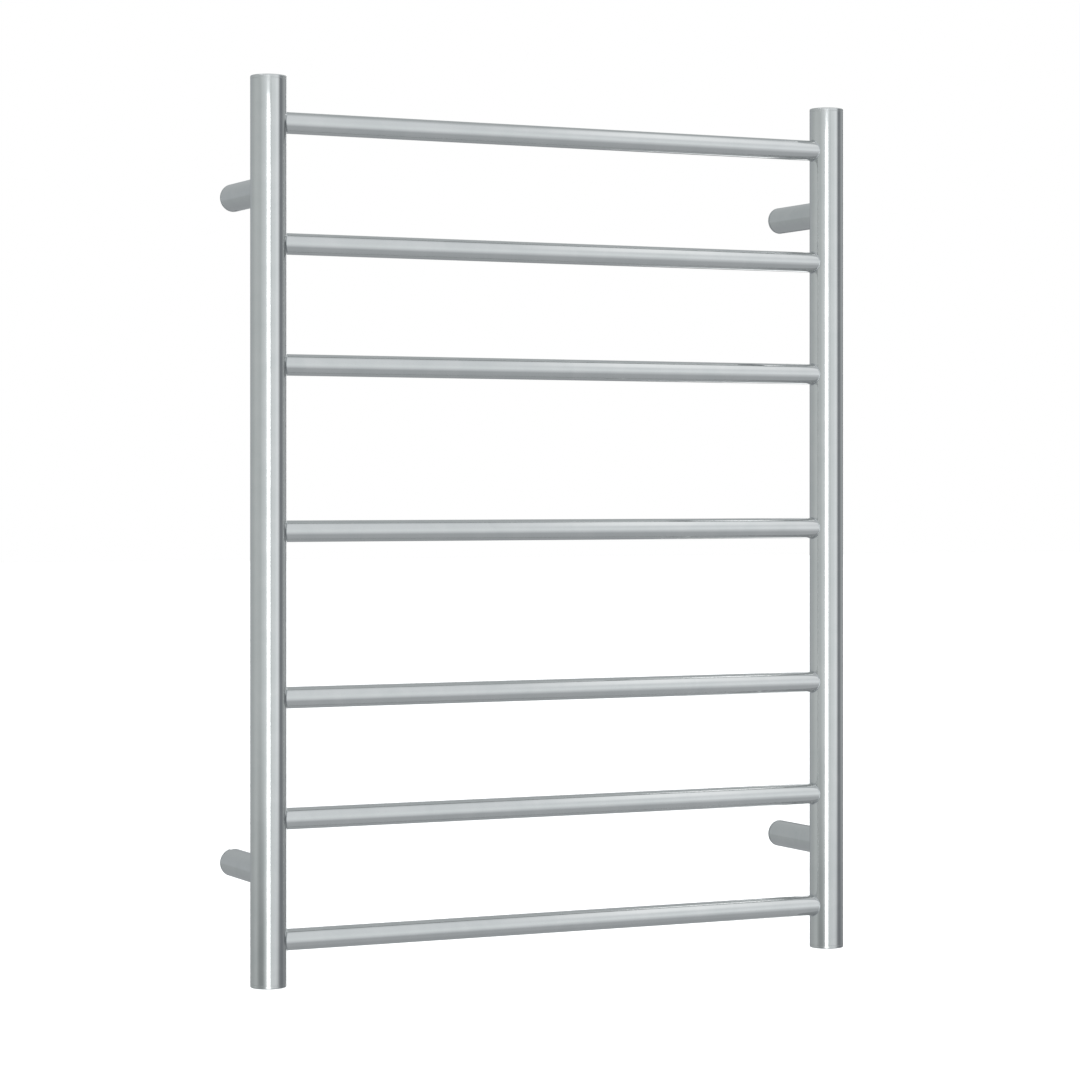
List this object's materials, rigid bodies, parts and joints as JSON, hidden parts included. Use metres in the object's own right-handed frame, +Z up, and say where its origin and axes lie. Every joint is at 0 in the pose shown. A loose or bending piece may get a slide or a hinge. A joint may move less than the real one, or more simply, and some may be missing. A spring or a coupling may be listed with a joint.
{
  "type": "towel warmer rack",
  "caption": "Wall-mounted ladder rail of polished steel tube that warms and dries towels: round posts, round cross bars in spaced groups, stand-off legs.",
  "frame": {"origin": "middle of the four wall-screw holes, on the wall plane", "axes": "+Z up along the posts, -Y out of the wall towards the room, +X to the right as seen from the room"},
  "size_m": [0.6, 0.106, 0.8],
  "materials": {
    "stainless_tube": "polished stainless tube",
    "stainless_cap": "polished stainless, turned",
    "boss_steel": "turned stainless",
    "grub_steel": "stainless set screw",
    "bush_rubber": "moulded grommet",
    "cable_silicone": "extruded silicone",
    "seal_rubber": "moulded silicone",
    "cutout_can": "drawn can",
    "splice_sleeve": "heat-shrunk sleeve",
    "earth_insulation": "extruded insulation",
    "lug_tin": "tinned"
  },
  "bodies": {
    "wall_fittings": {"boss_bottom_left": "boss_steel", "boss_bottom_right": "boss_steel", "boss_top_left": "boss_steel", "boss_top_right": "boss_steel", "cable_bush": "bush_rubber"},
    "rail": {"left_post": "stainless_tube", "right_post": "stainless_tube", "bar_1": "stainless_tube", "bar_2": "stainless_tube", "bar_3": "stainless_tube", "bar_4": "stainless_tube", "bar_5": "stainless_tube", "bar_6": "stainless_tube", "bar_7": "stainless_tube", "cap_bottom_left": "stainless_cap", "cap_bottom_right": "stainless_cap", "cap_top_left": "stainless_cap", "cap_top_right": "stainless_cap", "leg_bottom_left": "stainless_tube", "leg_bottom_right": "stainless_tube", "leg_top_left": "stainless_tube", "leg_top_right": "stainless_tube", "heating_cable": "cable_silicone", "end_seal": "seal_rubber", "thermal_cutout": "cutout_can", "splice_sleeve": "splice_sleeve", "earth_lead": "earth_insulation", "earth_stud": "boss_steel", "earth_lug": "lug_tin", "earth_nut": "boss_steel"},
    "screw_bottom_left": {"grub_bottom_left": "grub_steel"},
    "screw_bottom_right": {"grub_bottom_right": "grub_steel"},
    "screw_top_left": {"grub_top_left": "grub_steel"},
    "screw_top_right": {"grub_top_right": "grub_steel"}
  },
  "joints": [
    {"name": "rail_pull_off", "type": "slide", "parent": "wall_fittings", "child": "rail", "axis": [0, -1, 0], "range_m": [0, 0.03]},
    {"name": "screw_turn_bottom_left", "type": "hinge", "parent": "rail", "child": "screw_bottom_left", "pos_m": [-0.284, -0.012, -0.3122], "axis": [0, 0, -1], "range_deg": [0, 720]},
    {"name": "screw_turn_bottom_right", "type": "hinge", "parent": "rail", "child": "screw_bottom_right", "pos_m": [0.284, -0.012, -0.3122], "axis": [0, 0, -1], "range_deg": [0, 720]},
    {"name": "screw_turn_top_left", "type": "hinge", "parent": "rail", "child": "screw_top_left", "pos_m": [-0.284, -0.012, 0.2878], "axis": [0, 0, -1], "range_deg": [0, 720]},
    {"name": "screw_turn_top_right", "type": "hinge", "parent": "rail", "child": "screw_top_right", "pos_m": [0.284, -0.012, 0.2878], "axis": [0, 0, -1], "range_deg": [0, 720]}
  ]
}
